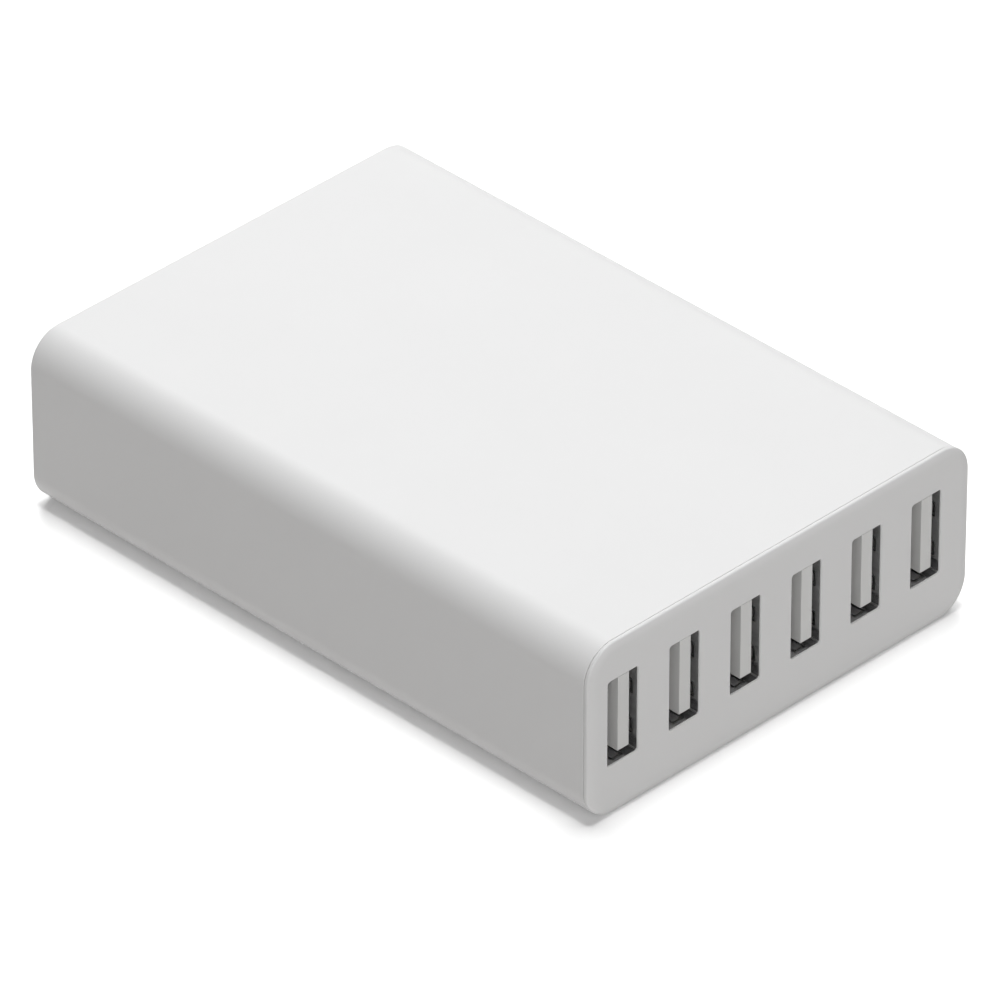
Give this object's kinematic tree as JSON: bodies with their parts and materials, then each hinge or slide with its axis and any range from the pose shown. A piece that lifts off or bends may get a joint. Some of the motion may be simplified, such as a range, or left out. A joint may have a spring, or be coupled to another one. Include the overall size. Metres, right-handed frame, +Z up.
{
  "type": "multi port usb desktop charger",
  "caption": "White desktop charger: rounded one-piece sleeve with a row of upright USB-A sockets in a snap-in front panel and a two-pole mains inlet at the rear.",
  "frame": {"origin": "on the ground below the middle of the body", "axes": "-Y out of the sockets, +X to the right when facing them, +Z up"},
  "size_m": [0.0676, 0.099, 0.0257],
  "materials": {
    "white_plastic": "satin",
    "socket_steel": "satin",
    "socket_plastic": "matte",
    "contact_metal": "polished",
    "circuit_board": "satin",
    "black_plastic": "matte",
    "pin_metal": "polished",
    "rubber": "matte",
    "yellow_plastic": "matte",
    "blue_plastic": "satin",
    "ferrite": "matte",
    "copper": "satin",
    "tape": "satin",
    "bobbin_plastic": "matte",
    "aluminium": "brushed",
    "capacitor_sleeve": "gloss",
    "sheet": "matte"
  },
  "bodies": {
    "root": {"housing": "white_plastic", "front_panel": "white_plastic", "usb_shell_1": "socket_steel", "usb_shell_2": "socket_steel", "usb_shell_3": "socket_steel", "usb_shell_4": "socket_steel", "usb_shell_5": "socket_steel", "usb_shell_6": "socket_steel", "usb_insulator_1": "socket_plastic", "usb_insulator_2": "socket_plastic", "usb_insulator_3": "socket_plastic", "usb_insulator_4": "socket_plastic", "usb_insulator_5": "socket_plastic", "usb_insulator_6": "socket_plastic", "usb_contacts_1": "contact_metal", "usb_contacts_2": "contact_metal", "usb_contacts_3": "contact_metal", "usb_contacts_4": "contact_metal", "usb_contacts_5": "contact_metal", "usb_contacts_6": "contact_metal", "port_board": "circuit_board", "main_board": "circuit_board", "inlet_body": "black_plastic", "bridge_rectifier": "black_plastic", "primary_switch": "black_plastic", "rectifier": "black_plastic", "optocoupler": "black_plastic", "power_controller": "black_plastic", "fuse": "black_plastic", "output_capacitor_1": "black_plastic", "output_capacitor_2": "black_plastic", "output_capacitor_3": "black_plastic", "inlet_pin_1": "pin_metal", "inlet_pin_2": "pin_metal", "foot_1": "rubber", "foot_2": "rubber", "foot_3": "rubber", "foot_4": "rubber", "x_capacitor": "yellow_plastic", "y_capacitor": "blue_plastic", "choke_core": "ferrite", "transformer_core_front": "ferrite", "transformer_core_rear": "ferrite", "output_choke": "ferrite", "choke_winding_1": "copper", "choke_winding_2": "copper", "transformer_winding": "tape", "transformer_bobbin": "bobbin_plastic", "primary_heatsink": "aluminium", "secondary_heatsink": "aluminium", "bulk_capacitor_1": "capacitor_sleeve", "bulk_capacitor_2": "capacitor_sleeve", "insulation_sheet": "sheet"}
  },
  "joints": []
}
